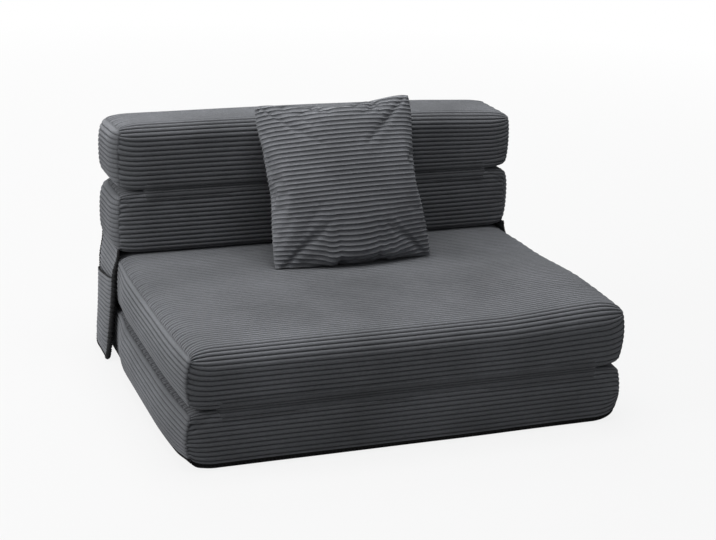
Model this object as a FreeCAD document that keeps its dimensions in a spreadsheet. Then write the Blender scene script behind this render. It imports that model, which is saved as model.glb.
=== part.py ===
import FreeCAD, Part
import math
import os
import Sketcher
from FreeCAD import Placement, Rotation, Vector

# Folding floor chair in millimetres: four foam blocks in ribbed covers, stacked in a zigzag.
# +X is the viewer's right, the front faces -Y, +Z is up. The origin is on the floor, under the seat's middle.

DRIVING_SIZES = [
    ("chair_width", 990, "blocks, end to end"),
    ("seat_depth", 820, "base and seat blocks, front to rear"),
    ("seat_thick", 132, "height that the base and the seat each take in the stack"),
    ("back_depth", 178, "back and head blocks, front to rear"),
    ("back_height", 154, "height that the back block takes in the stack"),
    ("head_height", 150, "height that the head block takes in the stack"),
    ("stack_gap", 0.6, "gap between stacked blocks"),
    ("cover_thick", 4, "ribbed cloth with its wadding"),
    ("foam_gap", 0.3, "play of a foam core in its cover"),
    ("open_radius", 24, "round of a block's free long edges"),
    ("rest_radius", 14, "round of the long edges that rest on something"),
    ("hinge_radius", 10, "round of the long edges that carry a hinge"),
    ("rim_radius", 3.5, "round of an end panel's rim"),
    ("sole_thick", 1.5, "non-slip cloth under the base"),
    ("sole_inset", 16, "base's outline to the sole's edge"),
    ("sole_corner", 20, "corner of the sole"),
    ("leaf_thick", 1.5, "cloth of a hinge leaf"),
    ("leaf_height", 24, "fold line to a leaf's sewn edge"),
    ("leaf_inset", 58, "block's end to the leaf's end"),
    ("leaf_gap", 0.3, "fold line to a leaf's edge"),
    ("zip_inset", 105, "block's end to the zip's end"),
    ("slot_height", 12, "opening in the cover behind a zip"),
    ("tape_width", 11, "one zip tape"),
    ("tape_thick", 0.6, "zip tape"),
    ("coil_width", 2.1, "one row of a zip's coil"),
    ("coil_thick", 1.6, "zip coil"),
    ("coil_gap", 0.9, "between the two rows, for the slider's web"),
    ("slider_length", 11, "slider along the zip"),
    ("slider_width", 8.6, "slider across the zip"),
    ("plate_thick", 0.8, "slider's plates and bridge"),
    ("web_thick", 0.5, "slider's web between the rows"),
    ("web_length", 5, "slider's web along the zip"),
    ("slider_play", 0.25, "slider's plates to the coil"),
    ("bridge_length", 6.4, "bridge over the pull's pin"),
    ("bridge_width", 1.6, "bridge across the zip"),
    ("pin_radius", 0.4, "pin of a pull"),
    ("pin_play", 0.15, "pull's pin to the slider"),
    ("pull_length", 24, "pull, from its pin to its tip"),
    ("pull_width", 5.2, "pull across"),
    ("pull_thick", 0.7, "pull's plate"),
    ("pull_arm", 1, "each arm of a pull beside the bridge"),
    ("pull_window", 4.6, "pin to the solid part of a pull"),
    ("zip_stop", 14, "zip's end to the middle of its closed slider"),
    ("flap_top_width", 164, "side flap at its sewn edge"),
    ("flap_bottom_width", 112, "side flap at its hem"),
    ("flap_length", 271, "side flap, sewn edge to hem"),
    ("flap_thick", 4, "doubled cloth of a side flap"),
    ("flap_gap", 0.4, "end panel to the flap"),
    ("seam_gap", 0.3, "sewn line to the flap's upper edge"),
    ("flap_rise", 12, "sewn edge above the back block's underside"),
    ("flap_corner", 14, "lower corners of a flap and its pocket"),
    ("pocket_inset", 8, "flap's edge to the pocket's edge"),
    ("pocket_depth", 12, "how far a pocket stands out from its flap"),
    ("pocket_wall", 2.5, "pocket's cloth"),
    ("mouth_front", 70, "sewn edge to the pocket's mouth, at the front"),
    ("mouth_rear", 90, "sewn edge to the pocket's mouth, at the rear"),
    ("pillow_size", 385, "pillow, edge to edge at mid side"),
    ("pillow_corner", 44, "pillow's corners"),
    ("pillow_thick", 130, "pillow at its crown"),
    ("pillow_cover", 2.5, "pillow's cloth"),
    ("pillow_lean", 24, "pillow's lean from upright, in degrees"),
    ("pillow_out", 183, "pillow's lower edge in front of the back's face"),
    ("pillow_lift", 0.7, "pillow's lower edge above the seat"),
    ("pillow_shift", 30, "pillow's middle, right of the chair's middle"),
]

doc = FreeCAD.newDocument("floor_chair")
sizes = doc.addObject("Spreadsheet::Sheet", "sizes")
for row, (alias, size, meaning) in enumerate(DRIVING_SIZES, start=1):
    sizes.set(f"A{row}", meaning)
    sizes.set(f"B{row}", str(size))
    sizes.setAlias(f"B{row}", alias)
doc.recompute()

# Fold lines and faces, as expressions of the sheet
FRONT_FACE = "(-sizes.seat_depth / 2)"
REAR_FACE = "(sizes.seat_depth / 2)"
BACK_FACE = "(sizes.seat_depth / 2 - sizes.back_depth)"
SEAT_FOLD = "sizes.seat_thick"
BACK_FOLD = "(2 * sizes.seat_thick)"
HEAD_FOLD = "(2 * sizes.seat_thick + sizes.back_height)"
BACK_MIDDLE = "(sizes.seat_depth / 2 - sizes.back_depth / 2)"
ZIP_LENGTH = "(sizes.chair_width - 2 * sizes.zip_inset)"

OPEN, REST, HINGE = "sizes.open_radius", "sizes.rest_radius", "sizes.hinge_radius"

# Each block: depth, height, middle along Y and Z, and the rounds of its long edges,
# lower front, lower rear, upper rear and upper front
BLOCKS = {
    "base": (
        "sizes.seat_depth",
        "(sizes.seat_thick - sizes.sole_thick - sizes.stack_gap / 2)",
        "0",
        "(sizes.sole_thick + sizes.seat_thick - sizes.stack_gap / 2) / 2",
        (REST, REST, REST, HINGE),
    ),
    "seat": (
        "sizes.seat_depth",
        "(sizes.seat_thick - sizes.stack_gap)",
        "0",
        f"{SEAT_FOLD} + sizes.seat_thick / 2",
        (HINGE, REST, HINGE, OPEN),
    ),
    "back": (
        "sizes.back_depth",
        "(sizes.back_height - sizes.stack_gap)",
        BACK_MIDDLE,
        f"{BACK_FOLD} + sizes.back_height / 2",
        (REST, HINGE, REST, HINGE),
    ),
    "head": (
        "sizes.back_depth",
        "(sizes.head_height - sizes.stack_gap)",
        BACK_MIDDLE,
        f"{HEAD_FOLD} + sizes.head_height / 2",
        (HINGE, OPEN, OPEN, OPEN),
    ),
}

pieces = []


def amount(expression):
    """The number that an expression of the sheet gives."""
    return float(sizes.evalExpression(expression))


def keep(piece, label, place=("0", "0", "0")):
    """Name a finished piece and put it in the chair's frame."""
    piece.Label = label
    for axis, expression in zip("xyz", place):
        piece.setExpression(f"Placement.Base.{axis}", expression)
    pieces.append(piece)
    return piece


def new_body(name):
    return doc.addObject("PartDesign::Body", name)


def new_sketch(body, name, role, rise=None):
    """A sketch on one of the body's own planes, raised along that plane's normal."""
    sketch = body.newObject("Sketcher::SketchObject", name)
    plane = next(part for part in body.Origin.OriginFeatures if part.Role == role)
    sketch.AttachmentSupport = [(plane, "")]
    sketch.MapMode = "FlatFace"
    if rise:
        sketch.setExpression("AttachmentOffset.Base.z", rise)
    return sketch


def bind(sketch, constraint, expression):
    """Add a dimension whose value follows the sheet."""
    number = sketch.addConstraint(constraint)
    sketch.setExpression(f"Constraints[{number}]", expression)


def fix_point(sketch, line, end, x, y):
    """Hold a line's end at a place given by two expressions that aren't zero."""
    for kind, expression in (("DistanceX", x), ("DistanceY", y)):
        distance = amount(expression)
        if distance > 0:
            bind(sketch, Sketcher.Constraint(kind, -1, 1, line, end, distance), expression)
        else:
            bind(sketch, Sketcher.Constraint(kind, line, end, -1, 1, -distance), f"-({expression})")


def rounded_rectangle(sketch, width, height, radii):
    """A rectangle about the sketch's origin; radii run anticlockwise from its lower left corner."""
    right, top = amount(width) / 2, amount(height) / 2
    corners = [(-right, -top, 180), (right, -top, 270), (right, top, 0), (-right, top, 90)]
    arcs = []
    for (x, y, start), radius in zip(corners, radii):
        bend = amount(radius)
        centre = Vector(x - bend * (1 if x > 0 else -1), y - bend * (1 if y > 0 else -1), 0)
        circle = Part.Circle(centre, Vector(0, 0, 1), bend)
        arcs.append(Part.ArcOfCircle(circle, math.radians(start), math.radians(start + 90)))
    chain = []
    for arc, following in zip(arcs, arcs[1:] + arcs[:1]):
        chain.append(sketch.addGeometry(arc))
        chain.append(sketch.addGeometry(Part.LineSegment(arc.EndPoint, following.StartPoint)))
    for current, following in zip(chain, chain[1:] + chain[:1]):
        sketch.addConstraint(Sketcher.Constraint("Tangent", current, 2, following, 1))
    for arc, radius in zip(chain[0::2], radii):
        bind(sketch, Sketcher.Constraint("Radius", arc, amount(radius)), radius)
    low, far, high, near = chain[1::2]
    for line in (low, high):
        sketch.addConstraint(Sketcher.Constraint("Horizontal", line))
    for line in (far, near):
        sketch.addConstraint(Sketcher.Constraint("Vertical", line))
    bind(sketch, Sketcher.Constraint("DistanceX", -1, 1, far, 1, right), f"{width} / 2")
    bind(sketch, Sketcher.Constraint("DistanceX", near, 1, -1, 1, right), f"{width} / 2")
    bind(sketch, Sketcher.Constraint("DistanceY", -1, 1, high, 1, top), f"{height} / 2")
    bind(sketch, Sketcher.Constraint("DistanceY", low, 1, -1, 1, top), f"{height} / 2")


def polygon(sketch, points):
    """A closed outline through points given as pairs of expressions."""
    places = [Vector(amount(x), amount(y), 0) for x, y in points]
    lines = []
    for start, end in zip(places, places[1:] + places[:1]):
        lines.append(sketch.addGeometry(Part.LineSegment(start, end)))
    for current, following in zip(lines, lines[1:] + lines[:1]):
        sketch.addConstraint(Sketcher.Constraint("Coincident", current, 2, following, 1))
    for line, (x, y) in zip(lines, points):
        fix_point(sketch, line, 1, x, y)


def extrude(body, sketch, length, kind="Pad", side="One side", reverse=False):
    feature = body.newObject(f"PartDesign::{kind}", f"{sketch.Name}_{kind}")
    feature.Profile = sketch
    feature.SideType = side
    feature.Reversed = reverse
    feature.setExpression("Length", length)
    doc.recompute()
    return feature


def fillet(body, base, edges, radius):
    feature = body.newObject("PartDesign::Fillet", f"{base.Name}_round")
    feature.Base = (base, edges)
    feature.setExpression("Radius", radius)
    doc.recompute()
    return feature


def edges_where(feature, test):
    """Names of a feature's edges whose middle passes the test."""
    return [
        f"Edge{number}"
        for number, edge in enumerate(feature.Shape.Edges, start=1)
        if test(edge.BoundBox.Center, edge)
    ]


def shrunk(expression, inset):
    return f"({expression} - 2 * ({inset}))"


def block_profile(sketch, block, inset):
    """A block's section, drawn some way inside its outline."""
    depth, height, _, _, radii = BLOCKS[block]
    inner = [f"({radius} - ({inset}))" for radius in radii]
    rounded_rectangle(sketch, shrunk(depth, inset), shrunk(height, inset), inner)


def block_place(block):
    _, _, middle_y, middle_z, _ = BLOCKS[block]
    return ("0", middle_y, middle_z)


# Foam cores
def foam(block):
    body = new_body(f"{block}_foam")
    sketch = new_sketch(body, f"{block}_foam_section", "YZ_Plane")
    inset = "sizes.cover_thick + sizes.foam_gap"
    block_profile(sketch, block, inset)
    extrude(body, sketch, shrunk("sizes.chair_width", inset), side="Symmetric")
    keep(body, f"{block}_foam", block_place(block))


# Covers: a sleeve round the block, open behind the zip, and a panel at each end
def wrap(block):
    body = new_body(f"{block}_wrap")
    sketch = new_sketch(body, f"{block}_wrap_section", "YZ_Plane")
    block_profile(sketch, block, "0")
    block_profile(sketch, block, "sizes.cover_thick")
    sleeve = extrude(body, sketch, shrunk("sizes.chair_width", "sizes.cover_thick"), side="Symmetric")
    closed = sleeve.Shape.Volume
    slot = new_sketch(body, f"{block}_zip_slot", "XZ_Plane")
    slot_end = f"({ZIP_LENGTH} / 2)"
    slot_side = "(sizes.slot_height / 2)"
    polygon(slot, [
        (f"-{slot_end}", f"-{slot_side}"),
        (slot_end, f"-{slot_side}"),
        (slot_end, slot_side),
        (f"-{slot_end}", slot_side),
    ])
    opened = extrude(body, slot, BLOCKS[block][0], kind="Pocket")
    if opened.Shape.Volume >= closed:
        raise ValueError(f"the zip slot of {block} cut nothing")
    keep(body, f"{block}_wrap", block_place(block))


def end_panel(block, side, sign):
    body = new_body(f"{block}_{side}_end")
    sketch = new_sketch(body, f"{block}_{side}_end_outline", "YZ_Plane")
    block_profile(sketch, block, "0")
    panel = extrude(body, sketch, "sizes.cover_thick", reverse=sign < 0)
    outer = sign * amount("sizes.cover_thick")
    rim = edges_where(panel, lambda middle, edge: abs(middle.x - outer) < 0.01)
    fillet(body, panel, rim, "sizes.rim_radius")
    _, middle_y, middle_z = block_place(block)
    sleeve_end = f"{sign} * (sizes.chair_width / 2 - sizes.cover_thick)"
    keep(body, f"{block}_{side}_end", (sleeve_end, middle_y, middle_z))


# Non-slip sole under the base
def sole():
    body = new_body("base_sole")
    sketch = new_sketch(body, "sole_outline", "XY_Plane")
    width = shrunk("sizes.chair_width", "sizes.sole_inset")
    depth = shrunk("sizes.seat_depth", "sizes.sole_inset")
    rounded_rectangle(sketch, width, depth, ["sizes.sole_corner"] * 4)
    extrude(body, sketch, "sizes.sole_thick")
    keep(body, "base_sole")


def box(name, length, width, height, corner):
    """A box with its lower corner at a place given by three expressions."""
    piece = doc.addObject("Part::Box", name)
    for size, expression in (("Length", length), ("Width", width), ("Height", height)):
        piece.setExpression(size, expression)
    for axis, expression in zip("xyz", corner):
        piece.setExpression(f"Placement.Base.{axis}", expression)
    return piece


# Fabric hinges: two leaves each, sewn to the faces of the blocks beside the fold line
def hinge_leaf(block, edge, face, outward, fold, upward):
    name = f"{block}_{edge}_leaf"
    low = f"{fold} + sizes.leaf_gap" if upward else f"{fold} - sizes.leaf_height"
    near = face if outward > 0 else f"{face} - sizes.leaf_thick"
    corner = ("-sizes.chair_width / 2 + sizes.leaf_inset", near, low)
    length = shrunk("sizes.chair_width", "sizes.leaf_inset")
    leaf = box(name, length, "sizes.leaf_thick", "sizes.leaf_height - sizes.leaf_gap", corner)
    keep(leaf, name, corner)


# Zips on the rear faces; places are counted from the middle of the tape, on the rear face
TAPE_MIDDLE = "(sizes.tape_thick / 2)"
COIL_TOP = f"({TAPE_MIDDLE} + sizes.coil_thick / 2)"
COIL_FOOT = f"({TAPE_MIDDLE} - sizes.coil_thick / 2)"
PLATE_TOP = f"({COIL_TOP} + sizes.slider_play + sizes.plate_thick)"
PIN_HEIGHT = f"({PLATE_TOP} + sizes.pin_play + sizes.pin_radius)"
BRIDGE_FOOT = f"({PIN_HEIGHT} + sizes.pin_radius + sizes.pin_play)"
TAPE_START = "(sizes.coil_gap / 2 + sizes.coil_width)"
SLIDER_X = f"({ZIP_LENGTH} / 2 - sizes.zip_stop)"


def zip_place(block):
    depth, _, middle_y, middle_z, _ = BLOCKS[block]
    return ("0", f"{middle_y} + {depth} / 2", middle_z)


def zip_rows(block, name, width, thick, start, foot):
    """Two equal strips along the zip, above and below its middle line."""
    rows = []
    for row, low in (("upper", start), ("lower", f"-({start} + {width})")):
        corner = (f"-{ZIP_LENGTH} / 2", foot, low)
        rows.append(box(f"{block}_{name}_{row}", ZIP_LENGTH, thick, width, corner))
    pair = doc.addObject("Part::Compound", f"{block}_{name}")
    pair.Links = rows
    keep(pair, f"{block}_{name}", zip_place(block))


def slider(block):
    def centred(name, length, width, foot, thick):
        corner = (f"{SLIDER_X} - {length} / 2", foot, f"-{width} / 2")
        return box(f"{block}_slider_{name}", length, thick, width, corner)

    web_foot = f"({COIL_FOOT} - sizes.slider_play)"
    web_rise = "(sizes.coil_thick + 2 * sizes.slider_play)"
    bridge_rise = f"({BRIDGE_FOOT} + sizes.plate_thick - {PLATE_TOP})"
    window = "(sizes.bridge_length - 2 * sizes.plate_thick)"
    arch = doc.addObject("Part::Cut", f"{block}_slider_arch")
    arch.Base = centred("bridge", "sizes.bridge_length", "sizes.bridge_width", PLATE_TOP, bridge_rise)
    arch.Tool = centred("window", window, "sizes.slider_width", PLATE_TOP, f"({BRIDGE_FOOT} - {PLATE_TOP})")
    whole = doc.addObject("Part::MultiFuse", f"{block}_zip_slider")
    plates = []
    for plate, above in (("top", PLATE_TOP), ("foot", web_foot)):
        plate_foot = f"{above} - sizes.plate_thick"
        length, width = "sizes.slider_length", "sizes.slider_width"
        plates.append(centred(plate, length, width, plate_foot, "sizes.plate_thick"))
    web = centred("web", "sizes.web_length", "sizes.web_thick", web_foot, web_rise)
    whole.Shapes = plates + [web, arch]
    keep(whole, f"{block}_zip_slider", zip_place(block))


def pull(block):
    pin = doc.addObject("Part::Cylinder", f"{block}_pull_pin")
    pin.setExpression("Radius", "sizes.pin_radius")
    pin.setExpression("Height", "sizes.pull_width")
    pin_place = (SLIDER_X, PIN_HEIGHT, "-sizes.pull_width / 2")
    for axis, expression in zip("xyz", pin_place):
        pin.setExpression(f"Placement.Base.{axis}", expression)
    foot = f"{PIN_HEIGHT} - sizes.pull_thick / 2"
    arms = []
    for arm, low in (("lower", "-sizes.pull_width / 2"), ("upper", "sizes.pull_width / 2 - sizes.pull_arm")):
        name = f"{block}_pull_{arm}"
        corner = (f"{SLIDER_X} - sizes.pull_window", foot, low)
        arms.append(box(name, "sizes.pull_window", "sizes.pull_thick", "sizes.pull_arm", corner))
    tab = box(
        f"{block}_pull_tab",
        "sizes.pull_length - sizes.pull_window",
        "sizes.pull_thick",
        "sizes.pull_width",
        (f"{SLIDER_X} - sizes.pull_length", foot, "-sizes.pull_width / 2"),
    )
    whole = doc.addObject("Part::MultiFuse", f"{block}_zip_pull")
    whole.Shapes = [pin, tab] + arms
    keep(whole, f"{block}_zip_pull", zip_place(block))


# Side flaps that hang from the back block's ends, each with a pocket on its outer face
FLAP_FRONT = "(-sizes.flap_top_width / 2)"


def flap_place(sign, standing_off):
    return (
        f"{sign} * (sizes.chair_width / 2 + sizes.flap_gap + {standing_off})",
        BACK_MIDDLE,
        f"{BACK_FOLD} + sizes.flap_rise",
    )


def flap_rear(drop):
    """The flap's sloping rear edge, at a drop below its sewn edge."""
    slope = "(sizes.flap_top_width - sizes.flap_bottom_width) / sizes.flap_length"
    return f"(sizes.flap_top_width / 2 - ({drop}) * {slope})"


def corner_edges(feature, level):
    """The two short edges across a flap's or a pocket's lower corners, at a height in its own frame."""
    def across(middle, edge):
        return abs(middle.z - amount(level)) < 0.01 and edge.BoundBox.XLength > 10 * edge.BoundBox.YLength

    return edges_where(feature, across)


def flap(side, sign):
    body = new_body(f"{side}_flap")
    sketch = new_sketch(body, f"{side}_flap_outline", "YZ_Plane")
    hem, sewn = "-sizes.flap_length", "-sizes.seam_gap"
    polygon(sketch, [
        (FLAP_FRONT, sewn),
        (FLAP_FRONT, hem),
        (flap_rear("sizes.flap_length"), hem),
        (flap_rear("sizes.seam_gap"), sewn),
    ])
    panel = extrude(body, sketch, "sizes.flap_thick", reverse=sign < 0)
    fillet(body, panel, corner_edges(panel, hem), "sizes.flap_corner")
    keep(body, f"{side}_flap", flap_place(sign, "0"))


def pocket(side, sign):
    body = new_body(f"{side}_pocket")
    outline = new_sketch(body, f"{side}_pocket_outline", "YZ_Plane")
    hem = "-(sizes.flap_length - sizes.pocket_inset)"
    front = f"({FLAP_FRONT} + sizes.pocket_inset)"
    rear_foot = f"({flap_rear('sizes.flap_length - sizes.pocket_inset')} - sizes.pocket_inset)"
    rear_mouth = f"({flap_rear('sizes.mouth_rear')} - sizes.pocket_inset)"
    polygon(outline, [
        (front, "-sizes.mouth_front"),
        (front, hem),
        (rear_foot, hem),
        (rear_mouth, "-sizes.mouth_rear"),
    ])
    pouch = extrude(body, outline, "sizes.pocket_depth", reverse=sign < 0)
    filled = pouch.Shape.Volume
    hollow = new_sketch(body, f"{side}_pocket_hollow", "YZ_Plane")
    over_mouth = "(sizes.mouth_front - sizes.pocket_wall)"
    rear_top = f"({flap_rear(over_mouth)} - sizes.pocket_inset)"
    polygon(hollow, [
        (f"{front} + sizes.pocket_wall", f"-{over_mouth}"),
        (f"{front} + sizes.pocket_wall", f"{hem} + sizes.pocket_wall"),
        (f"{rear_foot} - sizes.pocket_wall", f"{hem} + sizes.pocket_wall"),
        (f"{rear_top} - sizes.pocket_wall", f"-{over_mouth}"),
    ])
    emptied = extrude(body, hollow, "sizes.pocket_depth - sizes.pocket_wall", kind="Pocket", reverse=sign > 0)
    if emptied.Shape.Volume >= filled:
        raise ValueError(f"the pouch of {side}_pocket stayed solid")
    inner_corners = corner_edges(emptied, f"{hem} + sizes.pocket_wall")
    rounded = fillet(body, emptied, inner_corners, "sizes.flap_corner - sizes.pocket_wall")
    fillet(body, rounded, corner_edges(rounded, hem), "sizes.flap_corner")
    keep(body, f"{side}_pocket", flap_place(sign, "sizes.flap_thick"))


# Pillow: two domed cover panels sewn at the rim, and the fill between them
DOME = [(1.0, 0.0), (0.9, 0.5), (0.68, 0.84), (0.3, 1.0)]


def dome(body, name, kind, inset, sign):
    """A half of the pillow, lofted through rounded squares that shrink towards its crown."""
    sections = []
    for number, (share, rise) in enumerate(DOME):
        height = f"{sign * rise} * (sizes.pillow_thick / 2 - ({inset}))" if rise else None
        sketch = new_sketch(body, f"{name}_{number}", "XY_Plane", height)
        span = f"({share} * (sizes.pillow_size - 2 * ({inset})))"
        corner = f"({share} * (sizes.pillow_corner - ({inset})))"
        rounded_rectangle(sketch, span, span, [corner] * 4)
        sections.append(sketch)
    loft = body.newObject(f"PartDesign::{kind}Loft", f"{name}_loft")
    loft.Profile = sections[0]
    loft.Sections = sections[1:]
    doc.recompute()


def place_pillow(body, label):
    along = "(sizes.pillow_size / 2)"
    keep(body, label, (
        "sizes.pillow_shift",
        f"{BACK_FACE} - sizes.pillow_out + {along} * sin(sizes.pillow_lean)",
        f"{BACK_FOLD} + sizes.pillow_lift + {along} * cos(sizes.pillow_lean)",
    ))
    body.setExpression("Placement.Rotation.Angle", "90 - sizes.pillow_lean")
    tilt = Rotation(Vector(1, 0, 0), 90 - amount("sizes.pillow_lean"))
    body.Placement = Placement(body.Placement.Base, tilt)


def pillow():
    for side, sign in (("front", 1), ("rear", -1)):
        body = new_body(f"pillow_{side}")
        dome(body, f"pillow_{side}_outer", "Additive", "0", sign)
        dome(body, f"pillow_{side}_inner", "Subtractive", "sizes.pillow_cover", sign)
        place_pillow(body, f"pillow_{side}")
    body = new_body("pillow_fill")
    inset = "sizes.pillow_cover + sizes.foam_gap"
    for side, sign in (("front", 1), ("rear", -1)):
        dome(body, f"pillow_fill_{side}", "Additive", inset, sign)
    place_pillow(body, "pillow_fill")


for block in BLOCKS:
    foam(block)
    wrap(block)
    for side, sign in (("left", -1), ("right", 1)):
        end_panel(block, side, sign)
    zip_rows(block, "zip_tape", "sizes.tape_width", "sizes.tape_thick", TAPE_START, "0")
    zip_rows(block, "zip_coil", "sizes.coil_width", "sizes.coil_thick", "sizes.coil_gap / 2", COIL_FOOT)
    slider(block)
    pull(block)
sole()
hinge_leaf("base", "front", FRONT_FACE, -1, SEAT_FOLD, False)
hinge_leaf("seat", "front", FRONT_FACE, -1, SEAT_FOLD, True)
hinge_leaf("seat", "rear", REAR_FACE, 1, BACK_FOLD, False)
hinge_leaf("back", "rear", REAR_FACE, 1, BACK_FOLD, True)
hinge_leaf("back", "front", BACK_FACE, -1, HEAD_FOLD, False)
hinge_leaf("head", "front", BACK_FACE, -1, HEAD_FOLD, True)
for side, sign in (("left", -1), ("right", 1)):
    flap(side, sign)
    pocket(side, sign)
pillow()
doc.recompute()

for item in doc.Objects:
    if "Invalid" in item.State or "Error" in item.State:
        raise ValueError(f"{item.Label} failed: {item.State}")
for piece in pieces:
    if piece.Shape.isNull() or not piece.Shape.isValid():
        raise ValueError(f"{piece.Label} has no valid shape")

os.makedirs("parts", exist_ok=True)
for piece in pieces:
    piece.Shape.exportStep(f"parts/{piece.Label}.step")
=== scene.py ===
import math

import bmesh
import bpy
import numpy as np
from mathutils import Matrix, Vector


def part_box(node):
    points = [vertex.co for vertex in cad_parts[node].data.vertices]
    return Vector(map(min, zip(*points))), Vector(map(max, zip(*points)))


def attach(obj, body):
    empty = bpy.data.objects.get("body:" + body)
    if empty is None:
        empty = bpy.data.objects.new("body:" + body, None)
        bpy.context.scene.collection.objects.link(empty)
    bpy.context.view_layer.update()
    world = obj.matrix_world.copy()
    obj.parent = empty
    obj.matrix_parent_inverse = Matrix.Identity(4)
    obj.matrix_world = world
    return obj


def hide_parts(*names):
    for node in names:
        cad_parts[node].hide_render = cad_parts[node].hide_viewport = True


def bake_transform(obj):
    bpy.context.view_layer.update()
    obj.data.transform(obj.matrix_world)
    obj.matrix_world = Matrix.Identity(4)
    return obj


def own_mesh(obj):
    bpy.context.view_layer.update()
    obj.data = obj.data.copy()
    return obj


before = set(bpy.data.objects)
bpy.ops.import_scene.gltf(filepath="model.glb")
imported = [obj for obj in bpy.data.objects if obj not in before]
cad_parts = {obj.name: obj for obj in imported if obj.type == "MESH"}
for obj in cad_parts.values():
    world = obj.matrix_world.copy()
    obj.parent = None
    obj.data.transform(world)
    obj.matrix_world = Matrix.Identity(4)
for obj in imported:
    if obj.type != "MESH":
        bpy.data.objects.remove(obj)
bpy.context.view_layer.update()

# Sizes in metres. The cloth's ribs
RIB_PITCH = 0.0109
RIB_HEIGHT = 0.0032
RIB_STATIONS = np.array([0.0, 0.05, 0.14, 0.29, 0.5, 0.71, 0.86, 0.95])

# A cover's sleeve rolls in towards the seam at each end, and the end panel bulges out of that seam
SEAM_X = 0.4915
ROLL_LENGTH = 0.060
RIM_RISE = 0.0045
RIM_WIDTH = 0.013
# The columns of points in a roll and between the rolls, where in its quarter turn a roll's columns end, and
# the points of a long edge's round
ROLL_COLUMNS, MIDDLE_COLUMNS = 11, 31
ROLL_LAST_DEGREES = 8
CORNER_POINTS = 17

# Cloth hinges: half their length, their reach on each side of the fold and their thickness
HINGE_END = 0.437
HINGE_REACH = 0.021
HINGE_CLOTH = 0.0016
# How far a hinge stands off the blocks' faces, the depth of its ribs, how far its ends are tucked in and over
# what length, half the gap between two leaves, and its points
HINGE_STAND = 0.0013
HINGE_RIB = 0.0017
HINGE_TUCK = 0.0065
HINGE_TUCK_LENGTH = 0.012
HINGE_GAP = 0.0003
HINGE_ROWS = 49
HINGE_COLUMNS = 48
HINGE_END_STEPS = np.array([0, 0.0012, 0.003, 0.006])
# A wide and a narrow recess along the fold, each with its depth and its width, and the strip's unevenness
HINGE_RECESSES = ((0.0010, 0.008), (0.0034, 0.0022))
HINGE_UNEVEN = 0.0006

BLOCKS = ("base", "seat", "back", "head")
SEAT_BLOCKS = ("base", "seat")
SIDES = (("left", -1), ("right", 1))
# Rounds of each block's long edges in the middle: lower front, lower rear, upper rear, upper front
ROUNDS = {
    "base": (0.007, 0.008, 0.014, 0.013),
    "seat": (0.013, 0.014, 0.018, 0.044),
    "back": (0.018, 0.013, 0.020, 0.015),
    "head": (0.014, 0.030, 0.032, 0.034),
}
# The same edges at the end seams
SEAM_ROUNDS = {
    "base": (0.006, 0.007, 0.010, 0.010),
    "seat": (0.010, 0.010, 0.010, 0.012),
    "back": (0.011, 0.009, 0.020, 0.011),
    "head": (0.011, 0.038, 0.014, 0.012),
}
# How far the sleeve rolls in at its seams: in front, behind, below and above
ROLL = {
    "base": (0.007, 0.007, 0.0015, 0.009),
    "seat": (0.007, 0.008, 0.009, 0.014),
    "back": (0.008, 0.009, 0.009, 0.010),
    "head": (0.008, 0.010, 0.010, 0.011),
}
# How far the end seams bow outward, how far behind the front edge the seat blocks' bow is full, and how much
# further the seams bow at mid height
SEAM_BOW = {"base": 0.012, "seat": 0.008, "back": 0.0, "head": 0.0}
BOW_LENGTH = 0.25
SIDE_BOW = {"base": 0.009, "seat": 0.009, "back": 0.004, "head": 0.004}
# The flaps hold in the ends of the seat blocks: where this begins and is full, and the share that it takes
FLAP_HOLD_Y = (0.10, 0.24)
FLAP_HOLD = 0.7
# How far each block's front, top, left end and right end stand out in the middle, and the power by which an
# end's bulge falls off towards its upper and lower edges
FRONT_CROWN = {"base": 0.0024, "seat": 0.0026, "back": 0.003, "head": 0.003}
TOP_CROWN = {"base": 0.0, "seat": 0.001, "back": 0.0, "head": 0.001}
END_CROWN = {"base": (0.006, 0.006), "seat": (0.004, 0.004), "back": (0.014, 0.013), "head": (0.015, 0.006)}
END_FALL = {"base": 2, "seat": 2, "back": 5, "head": 5}
# The seat's top stands above a plain block at its right front: how far, and where that begins and is full
SEAT_SWELL = 0.015
SEAT_SWELL_X = (0.18, 0.46)
SEAT_SWELL_Y = (0.08, -0.20)
# The head's top stands higher along its front: how far, how much of that is lost at the rear, and where to
# the right it fades; its right end is lower
HEAD_SWELL = 0.009
HEAD_SWELL_LOST = 0.75
HEAD_SWELL_FADE_X = (0.0, 0.30)
HEAD_SINK = 0.007
HEAD_SINK_X = (0.25, 0.48)
# How far the base's left and right front corners are rounded up off the floor, that round's length and depth,
# the share of the base's height that takes part in it, and how much of it is lost towards the rear
FOOT_ROUND = (0.015, 0.022)
FOOT_ROUND_LENGTH = 0.055
FOOT_ROUND_DEPTH = 0.09
FOOT_ROUND_LEVEL = 0.6
FOOT_LEVELLED = 0.75


# Meshes from arrays
def grid_faces(rows, columns, round_rows=False):
    """Quads of a grid of points, numbered row by row; the last row may join the first."""
    row = np.arange(rows if round_rows else rows - 1)[:, None]
    column = np.arange(columns - 1)[None, :]
    following = (row + 1) % rows
    corners = [
        row * columns + column,
        row * columns + column + 1,
        following * columns + column + 1,
        following * columns + column,
    ]
    return np.stack(corners, -1).reshape(-1, 4)


def grid_rim(rows, columns):
    """Point numbers round the edge of a grid, in order."""
    top = np.arange(columns)
    far = np.arange(1, rows) * columns + columns - 1
    bottom = (rows - 1) * columns + np.arange(columns - 2, -1, -1)
    near = np.arange(rows - 2, 0, -1) * columns
    return np.concatenate([top, far, bottom, near])


def band(ring, other):
    """Quads between two rings of points."""
    return np.stack([ring, np.roll(ring, -1), np.roll(other, -1), other], 1)


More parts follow.
